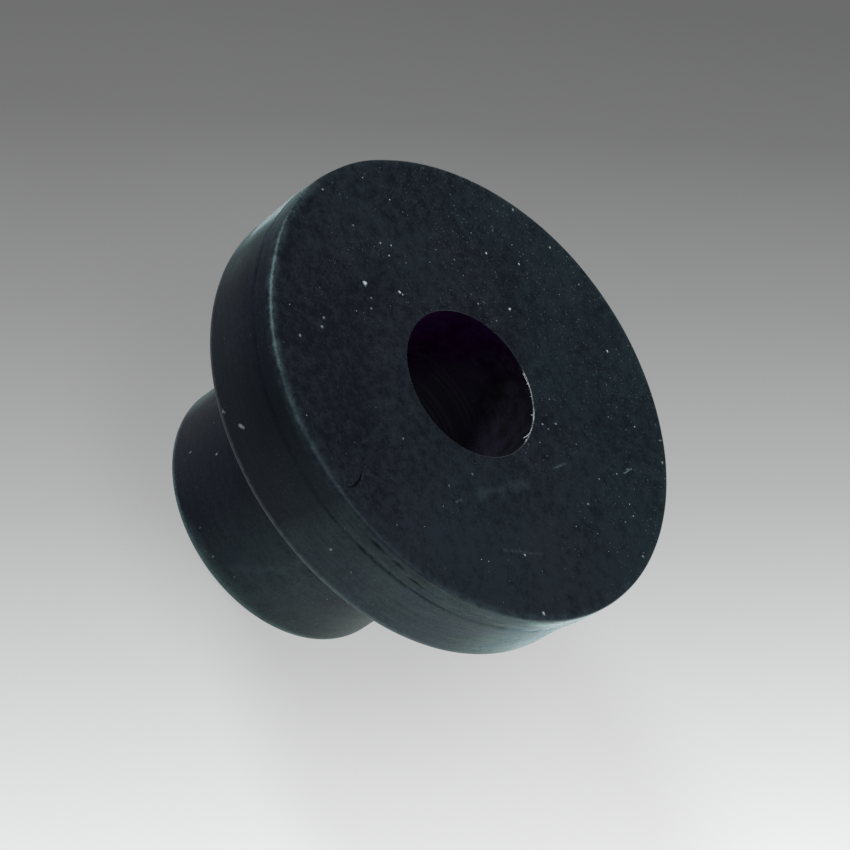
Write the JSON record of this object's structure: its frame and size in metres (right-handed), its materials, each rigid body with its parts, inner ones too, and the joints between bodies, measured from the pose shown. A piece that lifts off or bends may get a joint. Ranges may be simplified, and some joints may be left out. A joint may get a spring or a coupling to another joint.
{
  "type": "oil seal",
  "caption": "Flanged rubber seal moulded in one piece, with a thick round flange on a plain tubular stem and a straight bore right through.",
  "frame": {"origin": "centre of the stem's flat end, on the bore axis", "axes": "+Z along the bore axis, from the stem's end towards the flange's sealing face"},
  "size_m": [0.0397, 0.0396, 0.0235],
  "materials": {
    "rubber": "matte, dusty moulded rubber with faint mould marks"
  },
  "bodies": {
    "root": {"seal_body": "rubber"}
  },
  "joints": []
}
